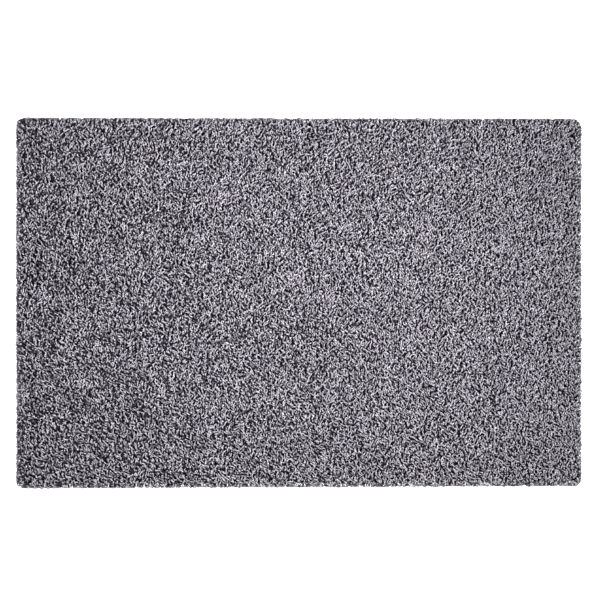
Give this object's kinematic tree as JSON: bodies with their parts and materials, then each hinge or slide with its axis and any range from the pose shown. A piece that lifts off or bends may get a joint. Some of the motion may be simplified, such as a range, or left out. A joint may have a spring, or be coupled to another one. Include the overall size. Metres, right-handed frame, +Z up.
{
  "type": "shag rug",
  "caption": "Rectangular shag rug: a flat mat of deep, curly cut pile in one grey, with small rounded corners and short locks of yarn round its rim. It lies on a floor.",
  "frame": {"origin": "the middle of the rug's flat underside, on the floor", "axes": "+X along the long side, +Y along the short side towards the picture's top, +Z up through the pile"},
  "size_m": [1.1679, 0.7662, 0.0273],
  "materials": {
    "pile_yarn": "matte, curly twisted cut pile"
  },
  "bodies": {
    "root": {"shag_rug": "pile_yarn"}
  },
  "joints": []
}
